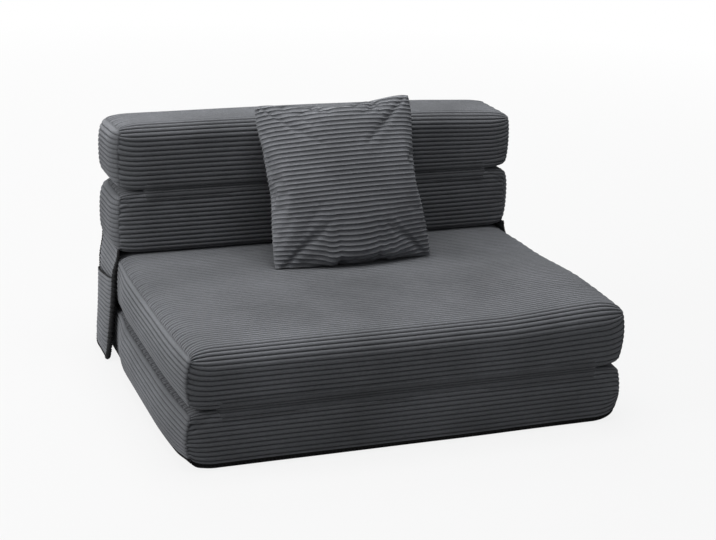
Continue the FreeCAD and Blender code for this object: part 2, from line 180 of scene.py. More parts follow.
def add_object(name, data):
    added = bpy.data.objects.new(name, data)
    bpy.context.scene.collection.objects.link(added)
    return added


def make_piece(name, points, quads, wide_faces=(), marks=None):
    """A mesh object with smooth faces turned outward; marks are numbers kept on its points."""
    mesh = bpy.data.meshes.new(name)
    corners = [int(k) for k in quads.ravel()]
    starts = list(range(0, len(corners), 4))
    for face in wide_faces:
        starts.append(len(corners))
        corners += [int(k) for k in face]
    mesh.vertices.add(len(points))
    mesh.vertices.foreach_set("co", np.asarray(points, float).ravel())
    mesh.loops.add(len(corners))
    mesh.loops.foreach_set("vertex_index", corners)
    mesh.polygons.add(len(starts))
    mesh.polygons.foreach_set("loop_start", starts)
    mesh.update(calc_edges=True)
    for key, values in (marks or {}).items():
        attribute = mesh.attributes.new(key, "FLOAT", "POINT")
        attribute.data.foreach_set("value", np.asarray(values, np.float32).ravel())
    whole = bmesh.new()
    whole.from_mesh(mesh)
    bmesh.ops.recalc_face_normals(whole, faces=whole.faces)
    whole.to_mesh(mesh)
    whole.free()
    mesh.polygons.foreach_set("use_smooth", np.ones(len(mesh.polygons), bool))
    return add_object(name, mesh)


def tube_piece(name, grid, marks=None):
    """A tube with closed ends; the rows of its grid follow each other round it, and the columns along it."""
    rows, columns = grid.shape[:2]
    first_ring = np.arange(rows) * columns
    return make_piece(
        name,
        grid.reshape(-1, 3),
        grid_faces(rows, columns, round_rows=True),
        [first_ring, first_ring + columns - 1],
        marks,
    )


def finish_piece(piece, body, slot, material, *nodes):
    """Paint a piece, tie it to its body and let it stand for CAD nodes."""
    piece.data.materials.append(material)
    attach(piece, body)
    if nodes:
        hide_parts(*nodes)
    return piece


# Cloth shapes
def rib_shape(phase):
    """A rib's height across its width: 0 in the valleys and 1 on the crest."""
    return 1 - np.abs(2 * phase - 1) ** 2.4


def rib_rows(length):
    """Places along a length that follow its ribs, and each place's rib height."""
    count = max(1, round(length / RIB_PITCH))
    stations = (np.arange(count)[:, None] + RIB_STATIONS[None, :]).ravel()
    heights = rib_shape(np.tile(RIB_STATIONS, count))
    return stations * length / count, heights


def sheet_rows(start, end, last=0.0):
    """Places from the start to the end of a sheet that follow its ribs, and their rib heights, as columns."""
    stations, height = rib_rows(abs(end - start))
    places = np.append(start + np.sign(end - start) * stations, end)
    return places[:, None], np.append(height, last)[:, None]


def drift(u, v, seed):
    """Slow, smooth unevenness from -1 to 1, different for each seed."""
    total = 0
    for number in range(4):
        turn = seed * 1.7 + number * 2.39996
        pace = 5.0 + 3.1 * number
        total = total + np.sin(pace * (u * math.cos(turn) + v * math.sin(turn)) + 4.1 * seed + 1.3 * number)
    return total / 4


def smooth_step(low, high, value):
    t = np.clip((value - low) / (high - low), 0, 1)
    return t * t * (3 - 2 * t)


def section_corners(low, high):
    """A section's corners from the lower front one round: each one's place and its ways inward."""
    (low_y, low_z), (high_y, high_z) = low, high
    return (low_y, low_z, 1, 1), (high_y, low_z, -1, 1), (high_y, high_z, -1, -1), (low_y, high_z, 1, -1)


def outline(low, high, rounds):
    """A rounded rectangle in Y and Z, with the outward direction at each of its points."""
    points, outward = [], []
    for number, (y, z, inward_y, inward_z) in enumerate(section_corners(low, high)):
        bend, start = rounds[number], (180 + 90 * number) % 360
        turn = np.radians(np.linspace(start, start + 90, CORNER_POINTS))
        way = np.stack([np.cos(turn), np.sin(turn)], 1)
        outward.append(way)
        points.append(np.array([y + inward_y * bend, z + inward_z * bend]) + bend * way)
    return np.concatenate(points), np.concatenate(outward)


def outline_length(points):
    return np.linalg.norm(np.roll(points, -1, 0) - points, axis=1).sum()


def along(points, stations, *others):
    """Points at distances along a closed outline, and what lies at the same places in other lists."""
    steps = np.linalg.norm(np.roll(points, -1, 0) - points, axis=1)
    reach = np.concatenate([[0], np.cumsum(steps)])
    found = []
    for values in (points, *others):
        closed = np.vstack([values, values[:1]])
        found.append(np.stack([np.interp(stations, reach, closed[:, k]) for k in (0, 1)], 1))
    return found


def unit(ways):
    return ways / np.linalg.norm(ways, axis=-1, keepdims=True)


def depth_inside(y, z, low, high, rounds):
    """How far points lie inside a rounded rectangle."""
    (low_y, low_z), (high_y, high_z) = low, high
    y, z = np.broadcast_arrays(y, z)
    depth = np.minimum.reduce([y - low_y, high_y - y, z - low_z, high_z - z])
    for (corner_y, corner_z, inward_y, inward_z), bend in zip(section_corners(low, high), rounds):
        across = bend - (y - corner_y) * inward_y
        upward = bend - (z - corner_z) * inward_z
        near = (across > 0) & (upward > 0)
        depth = np.where(near, bend - np.hypot(across, upward), depth)
    return depth


def shares(y, z, low, high):
    """Places as shares from -1 to 1 of a section's depth and height, and the section's middle."""
    middle_y, middle_z = (low[0] + high[0]) / 2, (low[1] + high[1]) / 2
    share_y = (y - middle_y) / ((high[0] - low[0]) / 2)
    share_z = (z - middle_z) / ((high[1] - low[1]) / 2)
    return share_y, share_z, (middle_y, middle_z)


def end_roll(x, length):
    """A quarter round that starts at some length before each end seam: 0 up to there and 1 at the seam."""
    t = np.clip((np.abs(x) - (SEAM_X - length)) / length, 0, 1)
    return 1 - np.sqrt(1 - t * t)


def section_of(block):
    low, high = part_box(f"{block}_wrap")
    return (low[1], low[2]), (high[1], high[2])


def seam_section(block):
    """The corners of a sleeve's outline at its seams."""
    (low_y, low_z), (high_y, high_z) = section_of(block)
    front, behind, below, above = ROLL[block]
    return (low_y + front, low_z + below), (high_y - behind, high_z - above)


def free_share(block, y):
    """The share of its bulge that an end keeps: less behind, where a flap hangs against it."""
    return 1 - FLAP_HOLD * smooth_step(*FLAP_HOLD_Y, y) if block in SEAT_BLOCKS else 1.0


def seam_bow(block, y, z):
    """How far a sleeve's end seams bow outward at points of its outline there."""
    low, high = seam_section(block)
    _, share_z, _ = shares(y, z, low, high)
    behind = 1.0
    if block in SEAT_BLOCKS:
        behind = np.sin(np.clip((y - low[0]) / BOW_LENGTH, 0, 1) * math.pi / 2)
    bow = SEAM_BOW[block] * behind + SIDE_BOW[block] * np.clip(1 - share_z ** 2, 0, 1)
    return bow * free_share(block, y)


def foot_lift(x, y):
    """How far the base's lower corners are rounded up off the floor."""
    (low_y, _), _ = section_of("base")
    behind = smooth_step(0, FOOT_ROUND_DEPTH, y - low_y)
    return np.where(x < 0, *FOOT_ROUND) * end_roll(x, FOOT_ROUND_LENGTH) * (1 - FOOT_LEVELLED * behind)


def swell(block, points):
    """The points of a block, raised where its soft form stands higher than a plain block."""
    x, y, z = np.moveaxis(points, -1, 0)
    (low_y, low_z), (high_y, high_z) = section_of(block)
    level = np.clip((z - low_z) / (high_z - low_z), 0, 1)
    if block == "base":
        rise = foot_lift(x, y) * (1 - smooth_step(0, FOOT_ROUND_LEVEL, level))
    elif block == "seat":
        rise = level * SEAT_SWELL * smooth_step(*SEAT_SWELL_X, x) * smooth_step(*SEAT_SWELL_Y, y)
    elif block == "head":
        rise = HEAD_SWELL * (1 - HEAD_SWELL_LOST * smooth_step(low_y, high_y, y))
        rise = rise * (1 - smooth_step(*HEAD_SWELL_FADE_X, x)) - HEAD_SINK * smooth_step(*HEAD_SINK_X, x)
        rise = level * rise
    else:
        rise = 0.0
    return np.stack([x, y, z + rise], -1)


def sleeve_columns():
    """Places across the chair, closer together where the sleeve rolls in."""
    turn = np.radians(np.linspace(90, ROLL_LAST_DEGREES, ROLL_COLUMNS))
    near_end = SEAM_X - ROLL_LENGTH * (1 - np.sin(turn))
    middle = np.linspace(-(SEAM_X - ROLL_LENGTH), SEAM_X - ROLL_LENGTH, MIDDLE_COLUMNS)
    return np.concatenate([-near_end, middle[1:-1], near_end[::-1]])


# Covers: the unevenness of their faces, and how far their ribs sway
UNEVEN = 0.0009
SLEEVE_SWAY = 0.0015
END_SWAY = 0.0012
# The end seams gather the cloth in puckers: their reach, their depth and sway, and each one's pace
PUCKER_REACH = 0.016
PUCKER_DEPTH, PUCKER_PACE = 0.0013, 0.0047
PUCKER_SWAY, PUCKER_SWAY_PACE = 0.0016, 0.0083
# The cloth lies flat under a zip: where that ends above, below and beside it, and how deep it lies
ZIP_FLAT_Z = (0.0145, 0.019)
ZIP_FLAT_X = (0.392, 0.399)
ZIP_FLAT_DEPTH = 0.0014
# Creases at the ends of the front hinges
CREASE_SLOPES = (0.12, 0.38, 0.72)
CREASE_START = 0.006
CREASE_WIDTH = 0.0026
CREASE_DEPTH = 0.0024
CREASE_FADE = (0.002, 0.014)
# An end panel: the points along a row, the share of them that crowd towards its edges, and how far its rim is
# tucked into the sleeve
END_COLUMNS = 72
END_CROWDED = 0.45
END_TUCK = 0.007
END_TUCK_SHARE = 0.02
# The foam inside a cover: its distance from the cover's faces and end seams, its least round, the bevel of
# its ends, the share of its length between the bevels and the points round it
CORE_INSET = 0.015
CORE_END_INSET = 0.012
CORE_LEAST_ROUND = 0.003
CORE_BEVEL = 0.006
CORE_FULL = 0.985
CORE_ROWS = 96


def corner_creases(x, below_fold):
    """Creases that run from the end of a front hinge out to the upper corner of the block below it."""
    beyond = np.abs(x) - HINGE_END
    depth = 0
    for slope in CREASE_SLOPES:
        depth = depth + np.exp(-((below_fold - CREASE_START - slope * beyond) / CREASE_WIDTH) ** 2)
    return depth * smooth_step(*CREASE_FADE, beyond)


def sleeve(block, seed):
    """The ribbed sleeve of a block's cover, from seam to seam."""
    low, high = section_of(block)
    points, outward = outline(low, high, ROUNDS[block])
    seam_points, _ = outline(*seam_section(block), SEAM_ROUNDS[block])
    stations, height = rib_rows(outline_length(points))
    place, seam_place, way = along(points, stations, seam_points, outward)
    stations, height, way = stations[:, None], height[:, None], unit(way)
    x = sleeve_columns()[None, :]
    y, z = place[:, :1], place[:, 1:]
    seam_y, seam_z = seam_place[:, :1], seam_place[:, 1:]
    way_y, way_z = way[:, :1], way[:, 1:]
    share_y, share_z, (_, middle_z) = shares(y, z, low, high)
    across = 1 - np.abs(x / SEAM_X) ** 3
    front, rear, top = np.clip(-way_y, 0, 1), np.clip(way_y, 0, 1), np.clip(way_z, 0, 1)
    crown = front * FRONT_CROWN[block] * (1 - share_z ** 2) * across
    crown = crown + top * TOP_CROWN[block] * (1 - share_y ** 4) * across
    # Only a front, or a top on which nothing lies, is uneven
    uneven = UNEVEN * (front + (TOP_CROWN[block] > 0) * top) * (drift(x * 1.6, y + z, seed) - 0.3)
    under_zip = rear * (1 - smooth_step(*ZIP_FLAT_Z, np.abs(z - middle_z)))
    under_zip = under_zip * (1 - smooth_step(*ZIP_FLAT_X, np.abs(x)))
    ribs = RIB_HEIGHT * (1 - height) * (1 - under_zip)
    gather = np.exp(-(SEAM_X - np.abs(x)) / PUCKER_REACH)
    pucker = PUCKER_DEPTH * gather * (np.sin(stations / PUCKER_PACE + 5 * np.sign(x)) - 1)
    offset = crown + uneven + pucker - ribs - ZIP_FLAT_DEPTH * under_zip
    if block in ("back", "base"):
        offset = offset - CREASE_DEPTH * front * corner_creases(x, high[1] - z)
    sway = SLEEVE_SWAY * drift(x * 1.1, 2.2 * (y - z), seed + 5) * (1 - under_zip)
    sway = sway + PUCKER_SWAY * gather * np.sin(stations / PUCKER_SWAY_PACE + 2 * np.sign(x))
    roll = end_roll(x, ROLL_LENGTH)
    full_x = x * (1 + seam_bow(block, seam_y, seam_z) / SEAM_X)
    full_y = y + (seam_y - y) * roll + way_y * offset - way_z * sway
    full_z = z + (seam_z - z) * roll + way_z * offset + way_y * sway
    grid = swell(block, np.stack([full_x, full_y, full_z], -1))
    marks = np.broadcast_to(height * (1 - under_zip) + 0.5 * under_zip, full_y.shape)
    return tube_piece(f"{block}_cover", grid, {"rib": marks})


def end_cover(block, side, sign, seed):
    """A ribbed panel that closes one end of a cover; its ribs run front to rear."""
    low, high = seam_section(block)
    rounds = SEAM_ROUNDS[block]
    seam, _ = outline(low, high, rounds)
    quarter = len(seam) // 4
    front_half = np.vstack([seam[3 * quarter:], seam[:quarter]])[::-1]
    rear_half = seam[quarter:3 * quarter]
    z, height = sheet_rows(low[1], high[1])
    fronts = np.interp(z, front_half[:, 1], front_half[:, 0])
    rears = np.interp(z, rear_half[:, 1], rear_half[:, 0])
    even = np.linspace(0, 1, END_COLUMNS)[None, :]
    share = END_CROWDED * (1 - np.cos(math.pi * even)) / 2 + (1 - END_CROWDED) * even
    y = fronts + (rears - fronts) * share
    depth = np.clip(depth_inside(y, z, low, high, rounds), 0, None)
    edge = np.clip(depth / RIM_WIDTH, 0, 1)
    rise = RIM_RISE * np.sqrt(1 - (1 - edge) ** 2)
    share_y, share_z, middle = shares(y, z, low, high)
    crown = (1 - np.abs(share_z) ** END_FALL[block]) * (1 - np.abs(share_y) ** 6)
    crown = END_CROWN[block][sign > 0] * crown * free_share(block, y)
    uneven = UNEVEN * drift(2.2 * y, 2.2 * z, seed) * edge
    ribs = RIB_HEIGHT * (1 - height) * (0.45 + 0.55 * edge)
    sway = END_SWAY * drift(3.0 * y, z, seed + 3) * edge
    x = sign * (SEAM_X + seam_bow(block, y, z) + rise + crown + uneven - ribs)
    grid = swell(block, np.stack([x, y, z + sway], -1))
    rows, columns = grid.shape[:2]
    rim = grid_rim(rows, columns)
    flat = grid.reshape(-1, 3)
    tucked = flat[rim].copy()
    tucked[:, 1:] += (np.array(middle) - tucked[:, 1:]) * END_TUCK_SHARE
    tucked[:, 0] -= sign * END_TUCK
    inner = len(flat) + np.arange(len(rim))
    # The tucked rim takes the valleys' mark: painted shade where it turns into the seam
    marks = np.concatenate([np.broadcast_to(height, y.shape).ravel(), np.zeros(len(rim))])
    return make_piece(
        f"{block}_{side}_cover_end",
        np.vstack([flat, tucked]),
        np.vstack([grid_faces(rows, columns), band(rim, inner)]),
        [inner],
        {"rib": marks},
    )


def core(block):
    """The foam inside a cover."""
    (low_y, low_z), (high_y, high_z) = section_of(block)
    low, high = (low_y + CORE_INSET, low_z + CORE_INSET), (high_y - CORE_INSET, high_z - CORE_INSET)
    rounds = [max(bend - CORE_INSET, CORE_LEAST_ROUND) for bend in ROUNDS[block]]
    points, outward = outline(low, high, rounds)
    place, way = along(points, np.linspace(0, outline_length(points), CORE_ROWS, endpoint=False), outward)
    way = unit(way)
    ends = np.array([-1, -CORE_FULL, 0, CORE_FULL, 1]) * (SEAM_X - CORE_END_INSET)
    bevel = np.array([CORE_BEVEL, 0, 0, 0, CORE_BEVEL])
    x = np.broadcast_to(ends[None, :], (len(place), len(ends)))
    y = place[:, :1] - way[:, :1] * bevel
    z = place[:, 1:] - way[:, 1:] * bevel
    return tube_piece(f"{block}_core", swell(block, np.stack([x, y, z], -1)))


# Cloth hinges
def hinge_strip(name, face_y, outward, fold_z, seed):
    """A strip of ribbed cloth across a fold line, sewn to the faces of two blocks."""
    rise = np.linspace(-HINGE_REACH, HINGE_REACH, HINGE_ROWS)[:, None]
    height = rib_shape((rise / RIB_PITCH + 0.5) % 1.0)
    middle = np.linspace(-HINGE_END + HINGE_TUCK_LENGTH, HINGE_END - HINGE_TUCK_LENGTH, HINGE_COLUMNS)
    x = np.concatenate([HINGE_END_STEPS - HINGE_END, middle, HINGE_END - HINGE_END_STEPS[::-1]])[None, :]
    tuck = HINGE_TUCK * np.clip(1 - (HINGE_END - np.abs(x)) / HINGE_TUCK_LENGTH, 0, 1) ** 2
    recess = sum(depth * np.exp(-(rise / width) ** 2) for depth, width in HINGE_RECESSES)
    uneven = HINGE_UNEVEN * drift(2.0 * x, rise * 8, seed)
    outer = HINGE_STAND - recess - HINGE_RIB * (1 - height) - tuck + uneven
    inner = outer - HINGE_CLOTH
    faces = []
    for offset, order in ((outer, slice(None)), (inner, slice(None, None, -1))):
        parts = np.broadcast_arrays(x, face_y + outward * offset, fold_z + rise)
        faces.append(np.stack(parts, -1)[order])
    grid = np.concatenate(faces)
    marks = np.concatenate([height, height[::-1]])
    return tube_piece(name, grid, {"rib": np.broadcast_to(marks, grid.shape[:2])})


# Side flaps: the width at the hem, and how much wider than the CAD flap the cloth is at its sewn line
FLAP_HEM_WIDTH = 0.126
FLAP_SPREAD = 0.002
# How far out a flap hangs at its sewn line, how much further over the bulging ends, the share of its drop
# that this takes, and how much further at its hem
FLAP_SEWN_X = 0.4975
FLAP_OVER_ENDS = 0.0095
FLAP_OVER_DROP = 0.24
FLAP_HEM_OUT = 0.0180
# Half a flap's thickness, the notches of its edges between the ribs, its waves and its lower corners' round
FLAP_HALF = 0.0019
FLAP_NOTCH = 0.0022
FLAP_WAVE = 0.0008
FLAP_CORNER = 0.016
FLAP_COLUMNS = 27
# The pocket's foot, how much wider than the CAD pocket its mouth is, and how far the mouth slants down behind
POCKET_FOOT_WIDTH = 0.1125
POCKET_SPREAD = 0.015
POCKET_SLANT = 0.020
# A pocket's distance from the flap's middle, how far it may sink back from there, how far it stands out at
# its edges and in between, its cloth, the depth of its ribs and its waves
POCKET_SEAT = 0.0028
POCKET_SINK = 0.0004
POCKET_EDGE = 0.0012
POCKET_STAND = 0.0075
POCKET_CLOTH = 0.0036
POCKET_RIB = 0.0021
POCKET_WAVE = 0.0010
POCKET_COLUMNS = 31
# The flap's edging: the spacing of its points, its radius, its knobs and their pace, and how much thicker it
# and its knobs are where the front edge is frayed
EDGING_STEP = 0.0011
EDGING_RADIUS = 0.0022
EDGING_KNOB = 0.0010
EDGING_PACE = 0.6 * RIB_PITCH
FRAYED_RADIUS, FRAYED_KNOB = 0.0010, 0.0028
FRAYED_Y, FRAYED_DROP = (0.004, 0.024), (0.01, 0.06)
# The pocket's hem: its height over the mouth, the spacing of its points, its radius and its waves
HEM_RISE = 0.0004
HEM_STEP = 0.0015
HEM_RADIUS = 0.0019
HEM_WAVE, HEM_WAVE_LENGTH = 0.0003, 0.005
TUBE_SIDES = 8


def flap_edges(side):
    """The flap's front edge, its rear edge at its sewn line and its hem, and those two heights."""
    low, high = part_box(f"{side}_flap")
    return low[1], high[1] + FLAP_SPREAD, low[1] + FLAP_HEM_WIDTH, high[2], low[2]


def flap_stand(drop):
    """How far from the chair's middle a flap hangs, from its sewn line to its hem."""
    over_ends = FLAP_OVER_ENDS * smooth_step(0, FLAP_OVER_DROP, drop)
    return FLAP_SEWN_X + over_ends + FLAP_HEM_OUT * drop ** 2


def corner_inset(z, hem):
    """How far the rounded lower corners of a flap or a pocket draw its edges in."""
    into = np.clip(FLAP_CORNER - (z - hem), 0, FLAP_CORNER)
    return FLAP_CORNER - np.sqrt(FLAP_CORNER * FLAP_CORNER - into * into)


def doubled_cloth(name, sign, outer, inner, y, z, outer_marks, inner_marks):
    """A closed piece of cloth from its two faces, whose distances from the chair's middle are given."""
    faces = [np.stack([sign * x, y, z], -1).reshape(-1, 3) for x in (outer, inner)]
    rows, columns = y.shape
    count = rows * columns
    rim = grid_rim(rows, columns)
    quads = grid_faces(rows, columns)
    return make_piece(
        name,
        np.vstack(faces),
        np.vstack([quads, quads + count, band(rim, rim + count)]),
        marks={"rib": np.concatenate([outer_marks.ravel(), inner_marks.ravel()])},
    )


def flap_cloth(side, sign, seed):
    """A hanging flap of doubled cloth, whose ribs run front to rear, and the path of its edging."""
    edge_y, rear_top, rear_hem, top, hem = flap_edges(side)
    z, height = sheet_rows(top, hem)
    drop = (top - z) / (top - hem)
    notch = FLAP_NOTCH * (1 - height)
    front = edge_y + notch
    back = rear_top + (rear_hem - rear_top) * drop - notch
    round_in = corner_inset(z, hem)
    share = np.linspace(0, 1, FLAP_COLUMNS)[None, :]
    y = front + round_in + (back - front - 2 * round_in) * share
    wave = FLAP_WAVE * drift(5.0 * y, 3.0 * z, seed) * smooth_step(0.0, 0.25, drop)
    middle = flap_stand(drop) + wave
    edge = np.minimum(np.minimum(share, 1 - share) / 0.06, 1.0)
    half = FLAP_HALF * (0.55 + 0.45 * edge)
    outer = middle + half - FLAP_HALF * (1 - height) * (0.3 + 0.7 * edge)
    z, marks = np.broadcast_to(z, y.shape), np.broadcast_to(height, y.shape)
    piece = doubled_cloth(f"{side}_flap_cloth", sign, outer, middle - half, y, z, marks, marks)
    rim = grid_rim(*y.shape)
    edging_path = np.stack([sign * middle, y, z], -1).reshape(-1, 3)[rim[FLAP_COLUMNS - 1:]]
    return piece, edging_path


def tube(name, path, radii):
    """A closed-ended tube along a path, with a radius at each of its points."""
    ahead = unit(np.gradient(path, axis=0))
    across = unit(np.cross(ahead, [1.0, 0, 0]))
    other = np.cross(ahead, across)
    turn = np.linspace(0, 2 * math.pi, TUBE_SIDES, endpoint=False)
    ring = across[:, None] * np.cos(turn)[None, :, None] + other[:, None] * np.sin(turn)[None, :, None]
    grid = (path[:, None] + ring * radii[:, None, None]).transpose(1, 0, 2)
    return tube_piece(name, grid)


def spread_evenly(path, step):
    """The same path with points at an even spacing."""
    reach = np.concatenate([[0], np.cumsum(np.linalg.norm(np.diff(path, axis=0), axis=1))])
    places = np.linspace(0, reach[-1], max(2, round(reach[-1] / step)))
    return np.stack([np.interp(places, reach, path[:, k]) for k in range(3)], 1), places


def pocket_pouch(side, sign, seed):
    """A pocket on the flap: a ribbed panel that stands out from it, open along its slanting upper edge."""
    low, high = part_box(f"{side}_pocket")
    _, _, _, sewn, flap_hem = flap_edges(side)
    front, hem, mouth_front = low[1], low[2], high[2]
    rear_mouth, rear_hem = high[1] + POCKET_SPREAD, front + POCKET_FOOT_WIDTH
    share = np.linspace(0, 1, POCKET_COLUMNS)[None, :]
    level, height = sheet_rows(0, mouth_front - hem, last=0.4)
    level = level / (mouth_front - hem)
    mouth = mouth_front - POCKET_SLANT * share
    z = hem + (mouth - hem) * level
    rear = rear_hem + (rear_mouth - rear_hem) * level
    round_in = corner_inset(z, hem)
    y = front + round_in + (rear - front - 2 * round_in) * share
    bulge = (1 - np.abs(2 * share - 1) ** 3) ** 0.6
    lift = smooth_step(0.0, 0.22, level) ** 0.6
    stand = POCKET_EDGE + POCKET_STAND * bulge * (0.25 + 0.75 * lift) * lift
    wave = POCKET_WAVE * drift(6.0 * y, 4.0 * z, seed) * bulge * lift
    base = flap_stand((sewn - z) / (sewn - flap_hem)) + POCKET_SEAT
    outer = base + stand + wave - POCKET_RIB * (1 - height) * (0.35 + 0.65 * bulge)
    inner = np.maximum(base + stand + wave - POCKET_CLOTH, base - POCKET_SINK)
    marks = np.broadcast_to(height, y.shape)
    # Its inner face takes 0.3 of the rib mark: painted shade where it faces the flap
    piece = doubled_cloth(f"{side}_pocket_pouch", sign, outer, inner, y, z, marks, 0.3 * marks)
    mouth_path = np.stack([sign * (outer[-1] + inner[-1]) / 2, y[-1], z[-1] + HEM_RISE], -1)
    return piece, mouth_path


def flap_edging(side, path):
    """The black edging of a flap: a knobbed tube, thicker where the front edge is frayed."""
    edge_y, _, _, sewn, _ = flap_edges(side)
    path, reach = spread_evenly(path, EDGING_STEP)
    knobs = rib_shape((reach / EDGING_PACE) % 1.0)
    frayed = 1 - smooth_step(*FRAYED_Y, path[:, 1] - edge_y)
    frayed = frayed * smooth_step(*FRAYED_DROP, sewn - path[:, 2])
    radii = EDGING_RADIUS + EDGING_KNOB * knobs + (FRAYED_RADIUS + FRAYED_KNOB * knobs) * frayed
    return tube(f"{side}_flap_edging", path, radii)


def pocket_hem(side, path):
    """The black hem along a pocket's mouth."""
    path, reach = spread_evenly(path, HEM_STEP)
    radii = HEM_RADIUS + HEM_WAVE * np.sin(reach * 2 * math.pi / HEM_WAVE_LENGTH)
    return tube(f"{side}_pocket_hem", path, radii)


# Pillow: the size of its cut cloth, the trim of its corners, the cells along a side of the simulated cloth,
# its thickness, the swelling and folds that it starts from, the share of its lower edge's arch that sinks to
# the seat, the points along a rib and the ribs' depth
PILLOW_CUT = 0.412
PILLOW_CORNER = 0.035
PILLOW_CELLS = 46
PILLOW_THICK = 0.120
PILLOW_PUFF = 0.012
PILLOW_FOLDS = 0.0022
PILLOW_SINK = 0.8
PILLOW_COLUMNS = 121
PILLOW_RIB = 0.95 * RIB_HEIGHT
# Where its middle lies, how far left of the CAD pillow's, and its room to the blocks
PILLOW_Y, PILLOW_Z = 0.1273, 0.4406
PILLOW_SHIFT = -0.011
PILLOW_ROOM = {"head": 0.0050, "back": 0.0050, "seat": 0.0035}
# The stuffing's share of the pillow's size, and its room to the blocks
STUFFING_SHARE = np.array([0.93, 0.93, 0.86])
STUFFING_ROOM = {"head": 0.010, "back": 0.010, "seat": 0.010}
CLOTH_FRAMES = 30


def pillow_sheets():
    """The pillow's front and rear: square sheets with round corners, a little swollen and folded."""
    half = PILLOW_CUT / 2
    step = np.linspace(-1, 1, PILLOW_CELLS + 1)
    u, v = np.meshgrid(step, step)
    fall = (1 - u ** 2) * (1 - v ** 2)
    puff = PILLOW_PUFF * fall
    folds = PILLOW_FOLDS * np.sin(9 * u + 2.1 * v) * np.sin(8 * v - 1.7 * u) * fall
    trim = 1 - PILLOW_CORNER * (u * v) ** 6
    heights = (puff + folds, 0.6 * folds - puff)
    return [np.stack([u * trim * half, v * trim * half, height], -1) for height in heights]


def join_sheets(front, rear):
    """Two sheets made one at their edges: points, quads, the rear's numbering and which points are inside."""
    rows, columns = front.shape[:2]
    count = rows * columns
    inside = np.ones(count, bool)
    inside[grid_rim(rows, columns)] = False
    rear_number = np.arange(count)
    rear_number[inside] = count + np.arange(inside.sum())
    points = np.vstack([front.reshape(-1, 3), rear.reshape(-1, 3)[inside]])
    quads = grid_faces(rows, columns)
    return points, np.vstack([quads, rear_number[quads][:, ::-1]]), rear_number, inside


def inflate(points, quads):
    """Blow the two sheets up as cloth and return where their points end."""
    trial = make_piece("pillow_trial", points, quads)
    cloth = trial.modifiers.new("cloth", "CLOTH")
    settings = cloth.settings
    settings.quality = 7
    settings.mass = 0.25
    settings.tension_stiffness = 28
    settings.compression_stiffness = 22
    settings.shear_stiffness = 9
    settings.bending_stiffness = 0.35
    settings.air_damping = 6
    settings.use_pressure = True
    settings.uniform_pressure_force = 3.2
    settings.effector_weights.gravity = 0
    cloth.point_cache.frame_start = 1
    cloth.point_cache.frame_end = CLOTH_FRAMES + 10
    scene = bpy.context.scene
    for number in range(1, CLOTH_FRAMES + 1):
        scene.frame_set(number)
    graph = bpy.context.evaluated_depsgraph_get()
    shape = trial.evaluated_get(graph).to_mesh()
    ended = np.empty(len(shape.vertices) * 3)
    shape.vertices.foreach_get("co", ended)
    trial.evaluated_get(graph).to_mesh_clear()
    bpy.data.objects.remove(trial)
    scene.frame_set(1)
    return ended.reshape(-1, 3)


def cubic_weights(places, count):
    """Weights that read a smooth curve through count even samples at places from 0 to 1."""
    weights = np.zeros((len(places), count))
    spot = places * (count - 1)
    cell = np.clip(np.floor(spot).astype(int), 0, count - 2)
    t = spot - cell
    parts = (
        (-1, -0.5 * t + t ** 2 - 0.5 * t ** 3),
        (0, 1 - 2.5 * t ** 2 + 1.5 * t ** 3),
        (1, 0.5 * t + 2 * t ** 2 - 1.5 * t ** 3),
        (2, -0.5 * t ** 2 + 0.5 * t ** 3),
    )
    for shift, value in parts:
        column = np.clip(cell + shift, 0, count - 1)
        np.add.at(weights, (np.arange(len(places)), column), value)
    return weights


def grid_normals(grid):
    along_rows = np.gradient(grid, axis=0)
    along_columns = np.gradient(grid, axis=1)
    normal = np.cross(along_columns, along_rows)
    return normal / np.maximum(np.linalg.norm(normal, axis=-1, keepdims=True), 1e-12)


# It leans back, with its left side a little lower
PILLOW_LEAN = math.radians(24)
PILLOW_TILT = math.radians(1.5)
LEAN_UP = np.array([0, math.sin(PILLOW_LEAN), math.cos(PILLOW_LEAN)])
PILLOW_RIGHT = np.array([math.cos(PILLOW_TILT), 0, 0]) + math.sin(PILLOW_TILT) * LEAN_UP
PILLOW_UP = math.cos(PILLOW_TILT) * LEAN_UP - np.array([math.sin(PILLOW_TILT), 0, 0])
PILLOW_FRONT = np.array([0, -math.cos(PILLOW_LEAN), math.sin(PILLOW_LEAN)])


def push_out(points, block, room):
    """Move points that lie inside a block's section, or within some room of it, straight out of it."""
    low, high = section_of(block)
    rounds = ROUNDS[block]
    y, z = points[..., 1], points[..., 2]
    depth = depth_inside(y, z, low, high, rounds) + room
    step = 1e-5
    slope_y = (depth_inside(y + step, z, low, high, rounds) + room - depth) / step
    slope_z = (depth_inside(y, z + step, low, high, rounds) + room - depth) / step
    move = np.clip(depth, 0, None)
    moved = points.copy()
    moved[..., 1] -= slope_y * move
    moved[..., 2] -= slope_z * move
    return moved


def lean_pillow(points, middle, rooms):
    """Points given from the pillow's middle, leaned on the back and moved clear of the blocks."""
    spread = points[..., :1] * PILLOW_RIGHT + points[..., 1:2] * PILLOW_UP + points[..., 2:] * PILLOW_FRONT
    leaned = middle + spread
    for block, room in rooms.items():
        leaned = push_out(leaned, block, room)
    return leaned


